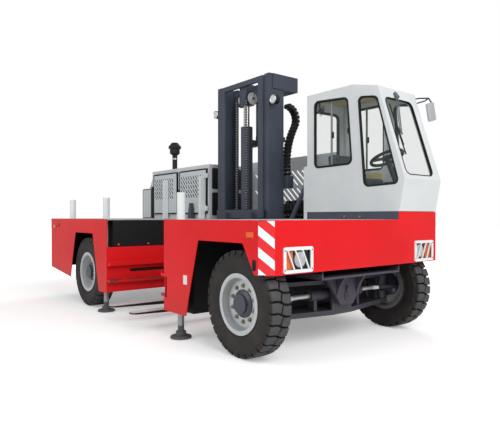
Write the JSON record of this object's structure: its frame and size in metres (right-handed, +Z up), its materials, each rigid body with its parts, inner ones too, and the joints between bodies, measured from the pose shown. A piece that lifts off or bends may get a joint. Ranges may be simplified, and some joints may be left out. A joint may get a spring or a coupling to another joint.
{
  "type": "side loader forklift",
  "caption": "Side loader forklift: a low deck truck with a cab at one front corner and a nested mast that reaches out of a well in its side, tilts and lifts forks",
  "frame": {"origin": "on the ground, under the middle of the truck's length and overall width", "axes": "+X to the cab end, +Y to the cab side, +Z up"},
  "size_m": [5.62, 2.92, 3.24],
  "materials": {
    "red_paint": "gloss",
    "grey_paint": "satin",
    "white_paint": "satin",
    "mast_paint": "satin",
    "black_paint": "satin",
    "steel": "satin",
    "chromed_rod": "polished",
    "iron": "rough",
    "tyre": "matte",
    "rubber": "matte",
    "pane": "clear",
    "clear_lens": "clear",
    "amber_lens": "clear",
    "red_lens": "clear",
    "black_plastic": "matte",
    "seat_cover": "matte"
  },
  "bodies": {
    "chassis": {"main_frame": "black_paint", "reach_rails": "red_paint", "front_skirt": "red_paint", "rear_skirt": "red_paint", "front_deck": "grey_paint", "rear_deck": "grey_paint", "side_deck": "grey_paint", "deck_posts": "white_paint", "deck_stub": "black_paint", "cab_base": "grey_paint", "cab_right": "white_paint", "cab_left": "white_paint", "cab_rear": "white_paint", "cab_roof": "white_paint", "cab_front": "white_paint", "cab_glass": "pane", "driver_seat": "seat_cover", "driver_console": "black_plastic", "wiper": "black_plastic", "hood": "grey_paint", "hood_hatches": "grey_paint", "rear_box": "grey_paint", "engine": "iron", "air_intake": "black_plastic", "side_guard": "grey_paint", "cab_stay": "black_paint", "headlamp_frames": "white_paint", "lamp_lenses": "clear_lens", "amber_lenses": "amber_lens", "tail_lamps": "red_lens", "mirror": "black_plastic", "front_axle": "black_paint", "rear_axle": "black_paint"},
    "knuckle_right": {"right_knuckle": "black_paint"},
    "knuckle_left": {"left_knuckle": "black_paint"},
    "wheel_front_right": {"front_right_wheel": "white_paint", "front_right_tyre": "tyre"},
    "wheel_front_left": {"front_left_wheel": "white_paint", "front_left_tyre": "tyre"},
    "wheel_rear_right": {"rear_right_wheel": "white_paint", "rear_right_tyre": "tyre"},
    "wheel_rear_left": {"rear_left_wheel": "white_paint", "rear_left_tyre": "tyre"},
    "steering_rod": {"steer_rod": "chromed_rod"},
    "reach_carriage": {"reach_frame": "black_paint"},
    "mast_outer": {"outer_mast": "mast_paint", "lift_barrel": "mast_paint", "hose_carrier": "rubber", "work_lamps": "black_plastic", "rear_chains": "steel"},
    "mast_inner": {"inner_mast": "mast_paint", "lift_rod": "chromed_rod", "front_chains": "steel"},
    "carriage": {"fork_carriage": "mast_paint", "forks": "steel"},
    "jack_rear": {"rear_jack": "steel"},
    "jack_front": {"front_jack": "steel"},
    "door": {"cab_door": "white_paint", "door_glass": "pane"}
  },
  "joints": [
    {"name": "steer_right", "type": "hinge", "parent": "chassis", "child": "knuckle_right", "pos_m": [2.24, -0.94, 0.5], "axis": [0, 0, 1], "range_deg": [-32, 32]},
    {"name": "steer_left", "type": "hinge", "parent": "chassis", "child": "knuckle_left", "pos_m": [2.24, 0.94, 0.5], "axis": [0, 0, 1], "range_deg": [-32, 32]},
    {"name": "steer_rod_slide", "type": "slide", "parent": "chassis", "child": "steering_rod", "axis": [0, 1, 0], "range_m": [-0.105, 0.105]},
    {"name": "front_right_spin", "type": "hinge", "parent": "knuckle_right", "child": "wheel_front_right", "pos_m": [2.24, -1.09, 0.5], "axis": [0, 1, 0], "continuous": true},
    {"name": "front_left_spin", "type": "hinge", "parent": "knuckle_left", "child": "wheel_front_left", "pos_m": [2.24, 1.09, 0.5], "axis": [0, 1, 0], "continuous": true},
    {"name": "rear_right_spin", "type": "hinge", "parent": "chassis", "child": "wheel_rear_right", "pos_m": [-1.37, -1.115, 0.5], "axis": [0, 1, 0], "continuous": true},
    {"name": "rear_left_spin", "type": "hinge", "parent": "chassis", "child": "wheel_rear_left", "pos_m": [-1.37, 1.115, 0.5], "axis": [0, 1, 0], "continuous": true},
    {"name": "mast_reach", "type": "slide", "parent": "chassis", "child": "reach_carriage", "axis": [0, -1, 0], "range_m": [0, 1.45]},
    {"name": "mast_tilt", "type": "hinge", "parent": "reach_carriage", "child": "mast_outer", "pos_m": [0.25, 0.525, 0.47], "axis": [1, 0, 0], "range_deg": [-5, 3]},
    {"name": "mast_lift", "type": "slide", "parent": "mast_outer", "child": "mast_inner", "axis": [0, 0, 1], "range_m": [0, 1.4], "deforming": ["rear_chains"]},
    {"name": "carriage_lift", "type": "slide", "parent": "mast_inner", "child": "carriage", "axis": [0, 0, 1], "range_m": [0, 1.4], "deforming": ["front_chains"]},
    {"name": "rear_jack_slide", "type": "slide", "parent": "chassis", "child": "jack_rear", "axis": [0, 0, 1], "range_m": [0, 0.17]},
    {"name": "front_jack_slide", "type": "slide", "parent": "chassis", "child": "jack_front", "axis": [0, 0, 1], "range_m": [0, 0.17]},
    {"name": "cab_door_swing", "type": "hinge", "parent": "chassis", "child": "door", "pos_m": [2.113, 1.305, 2.1], "axis": [0, 0, -1], "range_deg": [0, 85]}
  ],
  "couplings": [
    {"joint": "steer_left", "follows": "steer_right", "ratio": 1},
    {"joint": "steer_rod_slide", "follows": "steer_right", "m_per_rad": 0.18},
    {"joint": "carriage_lift", "follows": "mast_lift", "ratio": 1}
  ]
}
